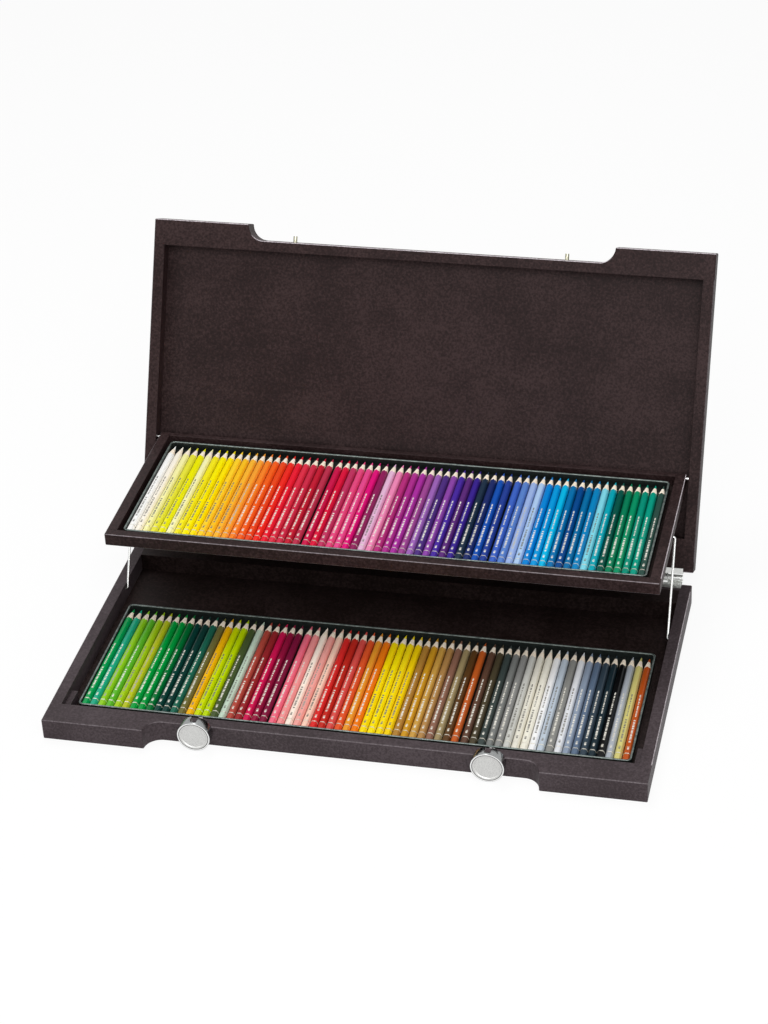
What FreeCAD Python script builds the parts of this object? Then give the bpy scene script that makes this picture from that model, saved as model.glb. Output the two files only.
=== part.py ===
import FreeCAD, Part
import math
import os
import re
import Sketcher
from FreeCAD import Rotation, Vector

# A wooden pencil case in two tiers, with a hinged lid and a tray that swings out with it.
# Every piece is modelled with the case shut. The lid, the tray and its two wire links are
# then opened by their placements, as far as the photograph shows them.
# X runs along the front to the right, Y to the back, Z up. The origin is the middle of the underside.

doc = FreeCAD.newDocument("PencilCase")

# Driving sizes, in millimetres and degrees. The case is made round its pencils, so they come first.
SIZES = {
    # The pencils
    "pencil_length": 175,
    "pencil_flats": 7.35,
    "pencil_gap": 0.063,
    "pencil_cone": 23,
    "group_gap": 1.5,
    # The two tins
    "tin_sheet": 0.8,
    "tin_height": 9,
    "tin_corner": 4.5,
    "tin_rim": 1.4,
    "tin_rim_height": 1.6,
    "tin_side_room": 1,
    "tin_end_room": 2,
    # The tray that the lid lifts, round the upper tin
    "tray_front": 9.8,
    "tray_front_room": 3,
    "tray_side": 11,
    "tray_side_room": 3.2,
    "tray_rear": 6,
    "tray_rear_room": 5.8,
    "tray_panel": 3,
    "tray_height": 14,
    # The two frames round the shut tray, which share one outline
    "wall": 12,
    "side_gap": 3.5,
    "front_gap": 7.5,
    "bay_depth": 59,
    "rear_rail": 36,
    "rail_end": 106.5,
    "notch_depth": 17,
    "mating_gap": 0.3,
    "edge_bevel": 0.8,
    # The base
    "base_height": 23.5,
    "base_panel": 4,
    "front_rail": 29.5,
    "lower_tin_gap": 14.5,
    "block_width": 6.2,
    "block_length": 32,
    "block_drop": 6.5,
    "seat_gap": 0.3,
    # The lid
    "lid_room": 9,
    "lid_panel": 6.5,
    "lid_front": 28,
    "lid_open": 116,
    # The pins that the tray hangs on
    "pin_inset": 5,
    "pin_edge": 2.6,
    "pin_radius": 1.5,
    "pin_hold": 6,
    "running_play": 0.1,
    # The two wire links
    "pivot_spacing": 100,
    "wire_radius": 1.2,
    "wire_bend": 2.6,
    "wire_hold": 6,
    "wire_play": 0.3,
    "bore_extra": 0.6,
    # The two hinges
    "hinge_length": 60,
    "hinge_inset": 11,
    "hinge_back": 7,
    "hinge_rise": 2.5,
    "barrel_radius": 4,
    "hinge_pin": 1.5,
    "hinge_play": 0.05,
    "knuckle_length": 28,
    "knuckle_gap": 0.4,
    "leaf_thick": 2,
    "leaf_reach": 16,
    "lip_thick": 1.5,
    "web_thick": 1.5,
    "base_lip": 8,
    "lid_lip": 4,
    "screw_inset": 10,
    "screw_edge": 5,
    "screw_radius": 1.5,
    "screw_head": 2.8,
    "screw_head_thick": 0.9,
    "screw_length": 8,
    # The two turning knobs
    "knob_inset": 52,
    "knob_thick": 11.6,
    "knob_gap": 0.4,
    "dish_rim": 3.6,
    "dish_depth": 0.8,
    "groove_width": 5.4,
    "groove_depth": 8,
    "slot_width": 6.4,
    "lock_turn": 90,
    "spindle_radius": 2.5,
    "spindle_grip": 7,
    "spindle_nut": 4.6,
    "spindle_nut_thick": 3,
    # The lid's pins that the knobs catch
    "latch_radius": 2.2,
    "latch_reach": 7,
    "latch_cover": 3,
    # Every cut starts this far outside what it cuts
    "overrun": 1,
}

# The knobs' height over the ground, their radius and their groove's, as shares of the base's height
KNOB_SHARES = {
    "knob_height_share": 0.766,
    "knob_radius_share": 0.7234,
    "groove_radius_share": 0.4894,
}

# Counts of pencils, in three groups from left to right
UPPER_GROUPS = (22, 23, 19)
LOWER_GROUPS = (23, 23, 20)

# What follows from the sizes, from the inside of the case outwards
FOLLOWING = {
    "pencil_pitch": "pencil_flats / cos(30) + pencil_gap",
    "tin_depth": "pencil_length + 2 * (tin_end_room + tin_sheet + tin_rim)",
    "upper_tin_width": "%d * pencil_pitch + 2 * (group_gap + tin_side_room + tin_sheet + tin_rim)"
    % sum(UPPER_GROUPS),
    "tray_width": "upper_tin_width + 2 * (tray_side_room + tray_side)",
    "tray_depth": "tray_front + tray_front_room + tin_depth + tray_rear_room + tray_rear",
    "case_width": "tray_width + 2 * (side_gap + wall)",
    "case_depth": "front_rail + front_gap + tray_depth + bay_depth + rear_rail",
    "notch_half": "case_width / 2 - rail_end",
    "block_top": "base_height - block_drop",
    "lid_height": "block_top + seat_gap + tray_height + lid_room + lid_panel - base_height - mating_gap",
    "knob_place": "notch_half - knob_inset",
    "knob_height": "base_height * knob_height_share",
    "knob_radius": "base_height * knob_radius_share",
    "groove_radius": "base_height * groove_radius_share",
}

FLATS = 6
FACETS = 8
SIDES = ("left", "right")
pieces = {}
cells = {}
sheet = doc.addObject("Spreadsheet::Sheet", "Sizes")


def on_sheet(words):
    """Point every size name in a formula at its cell."""
    return re.sub(r"[a-z_]+", lambda found: "Sizes." + found[0] if found[0] in cells else found[0], words)


def worked_out(words):
    """The number that a formula of size names gives."""
    return float(sheet.evalExpression(on_sheet(words)))


for table in (SIZES, KNOB_SHARES, FOLLOWING):
    for size_name, value in table.items():
        cell = "B%d" % (len(cells) + 1)
        sheet.set("A%d" % (len(cells) + 1), size_name)
        sheet.set(cell, "=" + on_sheet(str(value)).replace("Sizes.", ""))
        sheet.setAlias(cell, size_name)
        cells[size_name] = cell
    doc.recompute()

# Places that several pieces share, as formulas of the sizes
FRONT = "(-case_depth / 2)"
REAR = "(case_depth / 2)"
HALF_CASE = "(case_width / 2)"
INSIDE = "(case_width / 2 - wall)"
NOTCH_FACE = "(-case_depth / 2 + notch_depth)"
LID_RIM = "(base_height + mating_gap)"
LID_TOP = "(base_height + mating_gap + lid_height)"
HALF_TRAY = "(tray_width / 2)"
TRAY_INSIDE = "(tray_width / 2 - tray_side)"
HINGE_Y = "(case_depth / 2 + hinge_back)"
HINGE_Z = "(base_height + hinge_rise)"
# With the case shut, the pins that the tray hangs on lie this far before and above the hinges
REACH = "(hinge_back + rear_rail + bay_depth + pin_inset)"
RISE = "(seat_gap + tray_height - pin_edge - block_drop - hinge_rise)"
PIN_Y = "(" + HINGE_Y + " - " + REACH + ")"
PIN_Z = "(" + HINGE_Z + " + " + RISE + ")"
# The links are as long as that reach, and their two pivots lie before and below the hinges
# and the tray's pins by the same two distances, so they keep the tray level all the way
PIVOT_DROP = "(tray_height - 2 * pin_edge)"
LINK_Y = "(" + HINGE_Y + " - pivot_spacing)"
LINK_Z = "(" + HINGE_Z + " - " + PIVOT_DROP + ")"
LINK_LENGTH = "sqrt(" + REACH + "^2 + " + RISE + "^2)"
LINK_X = "((" + INSIDE + " + " + HALF_TRAY + ") / 2)"


def body(name):
    """A new piece, under its own name."""
    made = doc.addObject("PartDesign::Body", name)
    made.Label = name
    pieces[name] = made
    return made


def solids_piece(name, solids):
    """A new piece of one kind of solid, repeated, under its own name."""
    made = doc.addObject("Part::Feature", name)
    made.Label = name
    made.Shape = Part.Compound(solids)
    pieces[name] = made
    return made


def outward(side, inner, outer):
    """A stretch along X on one side, between two distances from the middle."""
    if side == "left":
        return "-(" + outer + ")", "-(" + inner + ")"
    return inner, outer


def beside(side, distance):
    """A place along X on one side, at a distance from the middle."""
    return "-(" + distance + ")" if side == "left" else distance


def block(owner, name, x, y, z, kind="Additive"):
    """A box in a piece, from its low and high place along each axis."""
    box = owner.newObject("PartDesign::%sBox" % kind, owner.Name + "_" + name)
    for axis, side, (low, high) in zip("xyz", ("Length", "Width", "Height"), (x, y, z)):
        box.setExpression(side, on_sheet("(" + high + ") - (" + low + ")"))
        box.setExpression("Placement.Base." + axis, on_sheet(low))
    doc.recompute()


def rod(owner, name, along, span, centre, radius, kind="Additive", flats=0):
    """A cylinder in a piece, or a prism where flats are asked for, between two places along X or Y."""
    low, high = span
    bar = owner.newObject("PartDesign::" + kind + ("Prism" if flats else "Cylinder"), owner.Name + "_" + name)
    if flats:
        bar.Polygon = flats
    bar.setExpression("Circumradius" if flats else "Radius", on_sheet(radius))
    bar.setExpression("Height", on_sheet("(" + high + ") - (" + low + ")"))
    if along == "x":
        bar.Placement.Rotation = Rotation(Vector(0, 1, 0), 90)
        start = (low, centre[0], centre[1])
    else:
        bar.Placement.Rotation = Rotation(Vector(1, 0, 0), -90)
        start = (centre[0], low, centre[1])
    for axis, place in zip("xyz", start):
        bar.setExpression("Placement.Base." + axis, on_sheet(place))
    doc.recompute()


def flat_sketch(owner, name, plane, place=("0", "0", "0")):
    """A sketch on one of a piece's own origin planes, moved by an offset."""
    made = owner.newObject("Sketcher::SketchObject", owner.Name + "_" + name)
    for feature in owner.Origin.OriginFeatures:
        if feature.Role == plane:
            made.AttachmentSupport = (feature, "")
    made.MapMode = "FlatFace"
    for axis, words in zip("xyz", place):
        made.setExpression("AttachmentOffset.Base." + axis, on_sheet(words))
    return made


def dimension(sketch, name, words, *where):
    """A named driving constraint that follows a formula."""
    constraint = Sketcher.Constraint(*where, worked_out(words))
    constraint.Name = name
    sketch.addConstraint(constraint)
    sketch.setExpression("Constraints." + name, on_sheet(words))


def closed_line(points):
    """Straight edges through points and back to the first one."""
    return [Part.LineSegment(start, end) for start, end in zip(points, points[1:] + points[:1])]


def neighbours(sketch):
    """Every edge of a closed sketch with the edge that follows it."""
    edges = list(range(sketch.GeometryCount))
    return zip(edges, edges[1:] + edges[:1])


def meets(place, words):
    """Whether a place lies where a formula says."""
    return abs(place - worked_out(words)) < worked_out("edge_bevel") / 2


def bevel(owner, wanted):
    """Break the sharp edges of a piece whose middle passes a test."""
    before = owner.Tip
    edges = enumerate(before.Shape.Edges, start=1)
    names = ["Edge%d" % number for number, edge in edges if wanted(edge.CenterOfMass)]
    chamfer = owner.newObject("PartDesign::Chamfer", owner.Name + "_edges")
    chamfer.Base = (before, names)
    chamfer.setExpression("Size", on_sheet("edge_bevel"))
    doc.recompute()


def bevel_rail(owner, inner, outer, low, high):
    """Bevel a full-width rail all round, but for its inner face."""
    bevel(owner, lambda middle: not meets(middle.y, inner) and (
        meets(middle.z, low) or meets(middle.z, high) or meets(middle.y, outer)
    ))


def bevel_side(owner, half_width, low, high):
    """Bevel a side board's two long outer edges."""
    bevel(owner, lambda middle: meets(abs(middle.x), half_width) and (
        meets(middle.z, low) or meets(middle.z, high)
    ))


# A front rail's middle is set back between two scooped ends, where the knobs stand
def notched_rail(name, depth, low, high):
    rail = body(name)
    outline = flat_sketch(rail, "outline", "XY_Plane", ("0", FRONT, low))
    half = worked_out(HALF_CASE)
    notch = worked_out("notch_half")
    scoop = worked_out("notch_depth")
    back = worked_out(depth)
    up = Vector(0, 0, 1)
    left_scoop = Part.Circle(Vector(scoop - notch, 0, 0), up, scoop)
    right_scoop = Part.Circle(Vector(notch - scoop, 0, 0), up, scoop)
    quarter = math.pi / 2
    outline.addGeometry([
        Part.LineSegment(Vector(-half, 0, 0), Vector(-notch, 0, 0)),
        Part.ArcOfCircle(left_scoop, quarter, math.pi),
        Part.LineSegment(Vector(scoop - notch, scoop, 0), Vector(notch - scoop, scoop, 0)),
        Part.ArcOfCircle(right_scoop, 0, quarter),
        Part.LineSegment(Vector(notch, 0, 0), Vector(half, 0, 0)),
        Part.LineSegment(Vector(half, 0, 0), Vector(half, back, 0)),
        Part.LineSegment(Vector(half, back, 0), Vector(-half, back, 0)),
        Part.LineSegment(Vector(-half, back, 0), Vector(-half, 0, 0)),
    ])
    rule = Sketcher.Constraint
    outline.addConstraint([
        rule("Coincident", 0, 2, 1, 2),
        rule("Tangent", 1, 1, 2, 1),
        rule("Tangent", 2, 2, 3, 2),
        rule("Coincident", 3, 1, 4, 1),
        rule("Coincident", 4, 2, 5, 1),
        rule("Coincident", 5, 2, 6, 1),
        rule("Coincident", 6, 2, 7, 1),
        rule("Coincident", 7, 2, 0, 1),
        rule("Horizontal", 2),
        rule("Vertical", 5),
        rule("Horizontal", 6),
        rule("PointOnObject", 4, 1, -1),
        rule("PointOnObject", 4, 2, -1),
        rule("PointOnObject", 3, 3, -1),
        rule("Symmetric", 0, 1, 4, 2, -2),
        rule("Symmetric", 0, 2, 4, 1, -2),
        rule("Equal", 1, 3),
    ])
    dimension(outline, "half_width", HALF_CASE, "DistanceX", -1, 1, 4, 2)
    dimension(outline, "notch", "notch_half", "DistanceX", -1, 1, 4, 1)
    dimension(outline, "scoop", "notch_depth", "Radius", 3)
    dimension(outline, "depth", depth, "DistanceY", -1, 1, 5, 2)
    pad = rail.newObject("PartDesign::Pad", name + "_pad")
    pad.Profile = outline
    pad.setExpression("Length", on_sheet("(" + high + ") - (" + low + ")"))
    doc.recompute()
    bevel_rail(rail, FRONT + " + " + depth, FRONT, low, high)
    return rail


def frame(name, front_depth, low, high, panel, ledge):
    """A frame of boards round a panel, with a wider rail at the back."""
    boards = {"front": notched_rail(name + "_front_rail", front_depth, low, high)}
    rear_face = REAR + " - wall"
    inside = (FRONT + " + " + front_depth, rear_face)
    boards["rear"] = body(name + "_rear_wall")
    block(boards["rear"], "board", ("-" + HALF_CASE, HALF_CASE), (rear_face, REAR), (low, high))
    bevel_rail(boards["rear"], rear_face, REAR, low, high)
    boards["ledge"] = body(name + "_rear_ledge")
    block(boards["ledge"], "board", ("-" + INSIDE, INSIDE), (REAR + " - rear_rail", rear_face), ledge)
    boards["panel"] = body(name + "_panel")
    block(boards["panel"], "board", ("-" + INSIDE, INSIDE), inside, panel)
    for side in SIDES:
        boards[side] = body(name + "_wall_" + side)
        block(boards[side], "board", outward(side, INSIDE, HALF_CASE), inside, (low, high))
        bevel_side(boards[side], HALF_CASE, low, high)
    return boards


# The base's panel is at its bottom, and the lid, shut over it, has its panel at the top
PANEL_FACE = "(" + LID_TOP + " - lid_panel)"
base = frame("base", "front_rail", "0", "base_height", ("0", "base_panel"), ("base_panel", "base_height"))
lid = frame("lid", "lid_front", LID_RIM, LID_TOP, (PANEL_FACE, LID_TOP), (LID_RIM, PANEL_FACE))
lid_parts = list(lid.values())

# Rest blocks: the shut tray comes down on them, in the corners behind the front rail
for side in SIDES:
    rest = body("rest_block_" + side)
    rail_back = FRONT + " + front_rail"
    block(
        rest, "block", outward(side, INSIDE + " - block_width", INSIDE),
        (rail_back, rail_back + " + block_length"), ("base_panel", "block_top"),
    )

# Hinges: two aluminium leaves that wrap the rear edges, with three knuckles on one pin
BASE_SCREWS = "(base_height - leaf_reach + screw_edge)"
LID_SCREWS = "(" + LID_RIM + " + leaf_reach - screw_edge)"
BARREL_TOP = "(" + HINGE_Z + " + barrel_radius)"
screw_places = {"base": [], "lid": []}
for side in SIDES:
    middle = "(" + beside(side, HALF_CASE + " - hinge_inset - hinge_length / 2") + ")"
    full = (middle + " - hinge_length / 2", middle + " + hinge_length / 2")
    centre = (middle + " - knuckle_length / 2", middle + " + knuckle_length / 2")
    outer_knuckles = {
        "low": (full[0], centre[0] + " - knuckle_gap"),
        "high": (centre[1] + " + knuckle_gap", full[1]),
    }
    plate = (REAR, REAR + " + leaf_thick")
    under = ("base_height - lip_thick", "base_height")
    axis = (HINGE_Y, HINGE_Z)
    pin_hole = (full[0] + " - overrun", full[1] + " + overrun")

    base_leaf = body("base_hinge_leaf_" + side)
    block(base_leaf, "plate", full, plate, ("base_height - leaf_reach", "base_height"))
    block(base_leaf, "lip", full, (REAR + " - base_lip", REAR), under)
    for end, knuckle in outer_knuckles.items():
        block(base_leaf, end + "_web", knuckle, (REAR, HINGE_Y), under)
        rod(base_leaf, end + "_barrel", "x", knuckle, axis, "barrel_radius")
    rod(base_leaf, "pin_hole", "x", pin_hole, axis, "hinge_pin + hinge_play", "Subtractive")

    lid_leaf = body("lid_hinge_leaf_" + side)
    block(lid_leaf, "plate", full, plate, (LID_RIM, LID_RIM + " + leaf_reach"))
    block(lid_leaf, "lip", full, (REAR + " - lid_lip", REAR), (LID_RIM, LID_RIM + " + lip_thick"))
    block(lid_leaf, "web", centre, (REAR, HINGE_Y), (BARREL_TOP + " - web_thick", BARREL_TOP))
    rod(lid_leaf, "barrel", "x", centre, axis, "barrel_radius")
    rod(lid_leaf, "pin_hole", "x", pin_hole, axis, "hinge_pin + hinge_play", "Subtractive")
    lid_parts.append(lid_leaf)

    pin = body("hinge_pin_" + side)
    rod(pin, "pin", "x", full, axis, "hinge_pin")

    # Shallow seats let both lips into the boards, flush with the rims
    block(
        base["rear"], side + "_seat", full, (REAR + " - base_lip", REAR + " + overrun"),
        ("base_height - lip_thick", "base_height + overrun"), "Subtractive",
    )
    block(
        lid["rear"], side + "_seat", full, (REAR + " - lid_lip", REAR + " + overrun"),
        (LID_RIM + " - overrun", LID_RIM + " + lip_thick"), "Subtractive",
    )
    for number, step in enumerate((" - ", " + ")):
        screw_x = "(" + middle + step + "(hinge_length / 2 - screw_inset))"
        hole = "%s_hole_%d" % (side, number)
        for owner, leaf, boards, height in (
            ("base", base_leaf, base, BASE_SCREWS),
            ("lid", lid_leaf, lid, LID_SCREWS),
        ):
            screw_places[owner].append((worked_out(screw_x), worked_out(height)))
            through = (REAR, REAR + " + leaf_thick + overrun")
            place = (screw_x, height)
            rod(leaf, hole, "y", through, place, "screw_radius + running_play", "Subtractive", FACETS)
            blind = (REAR + " - screw_length", REAR + " + overrun")
            rod(boards["rear"], hole, "y", blind, place, "screw_radius", "Subtractive", FACETS)


def prism(radius, length, place, count):
    """An upright-sided bar that points along Y, with corners on a circle round its middle."""
    turns = [2 * math.pi * corner / count for corner in range(count + 1)]
    ring = [place + Vector(radius * math.cos(turn), 0, radius * math.sin(turn)) for turn in turns]
    return Part.Face(Part.makePolygon(ring)).extrude(Vector(0, length, 0))


# Hinge screws: a flat head on the leaf and a shank in the board, four to each frame
def screws(name, places):
    face = worked_out(REAR + " + leaf_thick")
    foot = worked_out(REAR + " - screw_length")
    solids = []
    for x, z in places:
        shank = prism(worked_out("screw_radius"), face - foot, Vector(x, foot, z), FACETS)
        head = prism(worked_out("screw_head"), worked_out("screw_head_thick"), Vector(x, face, z), 2 * FACETS)
        solids.append(shank.fuse(head).removeSplitter().Solids[0])
    return solids_piece(name, solids)


screws("base_hinge_screws", screw_places["base"])
lid_parts.append(screws("lid_hinge_screws", screw_places["lid"]))

# Knobs: turned aluminium discs that stand in the notch, each on a spindle through the rail.
# A slot in the top of each lets the lid's pin down into a curved groove in its back, which
# takes the pin in as the knob is turned by a quarter.
KNOB_BACK = "(" + NOTCH_FACE + " - knob_gap)"
SPINDLE_NUT = "(" + FRONT + " + front_rail + running_play)"
DISH_FLOOR = "knob_thick - dish_depth"
# Half of the section, with the knob's axis up the page and its face at the top
KNOB_SECTION = (
    ("0", "spindle_grip"),
    ("spindle_radius", "spindle_grip"),
    ("spindle_radius", "0"),
    ("knob_radius", "0"),
    ("knob_radius", "knob_thick"),
    ("knob_radius - dish_rim", "knob_thick"),
    ("knob_radius - dish_rim - dish_depth", DISH_FLOOR),
    ("0", DISH_FLOOR),
)
GROOVE_SECTION = (
    ("groove_radius - groove_width / 2", "-overrun"),
    ("groove_radius + groove_width / 2", "-overrun"),
    ("groove_radius + groove_width / 2", "groove_depth"),
    ("groove_radius - groove_width / 2", "groove_depth"),
)


def section_sketch(owner, name, plane, corners):
    """Half a section, with straight edges between corners given from the turning axis."""
    section = flat_sketch(owner, name, plane)
    section.addGeometry(closed_line([Vector(worked_out(out), worked_out(up), 0) for out, up in corners]))
    for edge, following in neighbours(section):
        section.addConstraint(Sketcher.Constraint("Coincident", edge, 2, following, 1))
    for corner, places in enumerate(corners):
        for axis, line, words in zip("XY", (-2, -1), places):
            if words == "0":
                section.addConstraint(Sketcher.Constraint("PointOnObject", corner, 1, line))
            else:
                name = "corner_%d_%s" % (corner, axis)
                dimension(section, name, words, "Distance" + axis, -1, 1, corner, 1)
    return section


for side in SIDES:
    knob_x = beside(side, "knob_place")
    knob = body("knob_" + side)
    turned = knob.newObject("PartDesign::Revolution", knob.Name + "_turned")
    turned.Profile = section_sketch(knob, "section", "XZ_Plane", KNOB_SECTION)
    turned.ReferenceAxis = (turned.Profile[0], ["V_Axis"])
    turned.Angle = 360
    doc.recompute()
    block(
        knob, "slot", ("-slot_width / 2", "slot_width / 2"),
        ("groove_radius - groove_width / 2", "knob_radius + overrun"),
        ("-overrun", "groove_depth"), "Subtractive",
    )
    # The groove runs from the slot as far as the knob turns, and a little on for the pin itself
    groove = knob.newObject("PartDesign::Groove", knob.Name + "_groove")
    groove.Profile = section_sketch(knob, "groove_section", "YZ_Plane", GROOVE_SECTION)
    groove.ReferenceAxis = (groove.Profile[0], ["V_Axis"])
    groove.Reversed = side == "left"
    groove.setExpression("Angle", on_sheet("lock_turn * 1 deg + asin((slot_width / 2) / groove_radius)"))
    solid = knob.Shape.Volume
    doc.recompute()
    if knob.Shape.Volume >= solid:
        raise SystemExit(knob.Name + " has no groove")
    # The section stands upright, so the turned knob is laid over to face the front
    knob.Placement.Rotation = Rotation(Vector(1, 0, 0), 90)
    for axis, place in zip("xyz", (knob_x, KNOB_BACK, "knob_height")):
        knob.setExpression("Placement.Base." + axis, on_sheet(place))

    # The spindle is driven into the knob and turns in the front rail, with its nut behind it
    axis = (knob_x, "knob_height")
    spindle = body("knob_spindle_" + side)
    rod(spindle, "shank", "y", (KNOB_BACK + " - spindle_grip", SPINDLE_NUT), axis, "spindle_radius")
    nut = (SPINDLE_NUT, SPINDLE_NUT + " + spindle_nut_thick")
    rod(spindle, "nut", "y", nut, axis, "spindle_nut", flats=FLATS)
    through = (FRONT, SPINDLE_NUT + " + overrun")
    rod(base["front"], side + "_bore", "y", through, axis, "spindle_radius + running_play", "Subtractive")

    # The pin on the lid's front rail stands over the knob's slot when the lid comes down
    latch = body("latch_pin_" + side)
    axis = (knob_x, "knob_height + groove_radius")
    driven = FRONT + " + lid_front - latch_cover"
    rod(latch, "pin", "y", (NOTCH_FACE + " - latch_reach", driven), axis, "latch_radius")
    hold = (NOTCH_FACE + " - overrun", driven)
    rod(lid["front"], side + "_hold", "y", hold, axis, "latch_radius", "Subtractive")
    lid_parts.append(latch)

# The tray: a low frame round a thin panel, modelled from its own lower front edge
tray_parts = []
tray_front = body("tray_front_rail")
block(tray_front, "board", ("-" + HALF_TRAY, HALF_TRAY), ("0", "tray_front"), ("0", "tray_height"))
bevel_rail(tray_front, "tray_front", "0", "0", "tray_height")
tray_rear = body("tray_rear_rail")
rear_span = ("tray_depth - tray_rear", "tray_depth")
block(tray_rear, "board", ("-" + TRAY_INSIDE, TRAY_INSIDE), rear_span, ("0", "tray_height"))
tray_panel = body("tray_panel")
panel_span = ("tray_front", "tray_depth - tray_rear")
block(tray_panel, "board", ("-" + TRAY_INSIDE, TRAY_INSIDE), panel_span, ("0", "tray_panel"))
tray_parts += [tray_front, tray_rear, tray_panel]
for side in SIDES:
    rail = body("tray_rail_" + side)
    across = outward(side, TRAY_INSIDE, HALF_TRAY)
    block(rail, "board", across, ("tray_front", "tray_depth"), ("0", "tray_height"))
    bevel_side(rail, HALF_TRAY, "0", "tray_height")
    pin_room = outward(side, HALF_TRAY + " - pin_hold - bore_extra", HALF_TRAY + " + overrun")
    pin_axis = ("tray_depth - pin_inset", "tray_height - pin_edge")
    rod(rail, "pin_bore", "x", pin_room, pin_axis, "pin_radius + running_play", "Subtractive")
    wire_room = outward(side, HALF_TRAY + " - wire_hold - bore_extra", HALF_TRAY + " + overrun")
    wire_axis = ("tray_depth - pin_inset - pivot_spacing", "pin_edge")
    rod(rail, "wire_bore", "x", wire_room, wire_axis, "wire_radius + wire_play", "Subtractive")
    tray_parts.append(rail)

    # The pin that carries this end of the tray is driven into the lid's wall
    pin = body("tray_pin_" + side)
    pin_span = outward(side, HALF_TRAY + " - pin_hold", INSIDE + " + pin_hold")
    rod(pin, "pin", "x", pin_span, (PIN_Y, PIN_Z), "pin_radius")
    driven = outward(side, INSIDE + " - overrun", INSIDE + " + pin_hold")
    rod(lid[side], "pin_bore", "x", driven, (PIN_Y, PIN_Z), "pin_radius", "Subtractive")
    lid_parts.append(pin)

# Links: one steel wire each, bent outwards into the base's wall and inwards into the tray.
# Each is modelled from its lower pivot, lying straight forward.
for side in SIDES:
    link = body("link_rod_" + side)
    way = -1 if side == "left" else 1
    up = Vector(0, 0, 1)
    route = flat_sketch(link, "route", "XY_Plane")
    run = way * worked_out(LINK_X)
    bend = worked_out("wire_bend")
    length = worked_out(LINK_LENGTH)
    outer_end = beside(side, INSIDE + " + wire_hold")
    inner_end = beside(side, HALF_TRAY + " - wire_hold")
    lower_bend = Part.Circle(Vector(run + way * bend, -bend, 0), up, bend)
    upper_bend = Part.Circle(Vector(run - way * bend, bend - length, 0), up, bend)
    quarter = math.pi / 2
    lower_turn = (0, quarter) if side == "left" else (quarter, math.pi)
    upper_turn = (math.pi, math.pi + quarter) if side == "left" else (-quarter, 0)
    route.addGeometry([
        Part.LineSegment(Vector(worked_out(outer_end), 0, 0), Vector(run + way * bend, 0, 0)),
        Part.ArcOfCircle(lower_bend, *lower_turn),
        Part.LineSegment(Vector(run, -bend, 0), Vector(run, bend - length, 0)),
        Part.ArcOfCircle(upper_bend, *upper_turn),
        Part.LineSegment(Vector(run - way * bend, -length, 0), Vector(worked_out(inner_end), -length, 0)),
    ])
    # On the left the arcs run the other way round, so their ends change places
    first, last = (2, 1) if side == "left" else (1, 2)
    rule = Sketcher.Constraint
    route.addConstraint([
        rule("Horizontal", 0),
        rule("Vertical", 2),
        rule("Horizontal", 4),
        rule("Tangent", 0, 2, 1, first),
        rule("Tangent", 1, last, 2, 1),
        rule("Tangent", 2, 2, 3, last),
        rule("Tangent", 3, first, 4, 1),
        rule("Equal", 1, 3),
        rule("PointOnObject", 0, 1, -1),
    ])
    dimension(route, "outer_end", outer_end, "DistanceX", -1, 1, 0, 1)
    dimension(route, "run", beside(side, LINK_X), "DistanceX", -1, 1, 2, 1)
    dimension(route, "bend", "wire_bend", "Radius", 1)
    dimension(route, "throw", "-" + LINK_LENGTH, "DistanceY", -1, 1, 4, 2)
    dimension(route, "inner_end", inner_end, "DistanceX", -1, 1, 4, 2)
    # The wire is drawn with eight flats, for fewer facets in its bends
    section = flat_sketch(link, "section", "YZ_Plane", ("0", "0", outer_end))
    radius = worked_out("wire_radius")
    turns = [2 * math.pi * corner / FACETS for corner in range(FACETS)]
    section.addGeometry(closed_line([
        Vector(radius * math.cos(turn), radius * math.sin(turn), 0) for turn in turns
    ]))
    flats = neighbours(section)
    round_wire = section.addGeometry(Part.Circle(Vector(0, 0, 0), up, radius), True)
    section.addConstraint(rule("Coincident", round_wire, 3, -1, 1))
    for edge, following in flats:
        section.addConstraint(rule("Coincident", edge, 2, following, 1))
        section.addConstraint(rule("PointOnObject", edge, 1, round_wire))
    for edge in range(1, FACETS):
        section.addConstraint(rule("Equal", 0, edge))
    section.addConstraint(rule("PointOnObject", 0, 1, -1))
    dimension(section, "wire", "wire_radius", "Radius", round_wire)
    doc.recompute()
    wire = link.newObject("PartDesign::AdditivePipe", link.Name + "_wire")
    wire.Profile = section
    wire.Spine = (route, [])
    doc.recompute()
    turn = "rotation(vector(-1; 0; 0); lid_open * 1 deg + atan2(" + RISE + "; " + REACH + "))"
    foot = "vector(0; " + LINK_Y + "; " + LINK_Z + ")"
    link.setExpression("Placement", on_sheet("placement(" + foot + "; " + turn + ")"))
    wire_room = outward(side, INSIDE + " - overrun", INSIDE + " + wire_hold + bore_extra")
    wire_axis = (LINK_Y, LINK_Z)
    rod(base[side], "wire_bore", "x", wire_room, wire_axis, "wire_radius + wire_play", "Subtractive")


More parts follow.
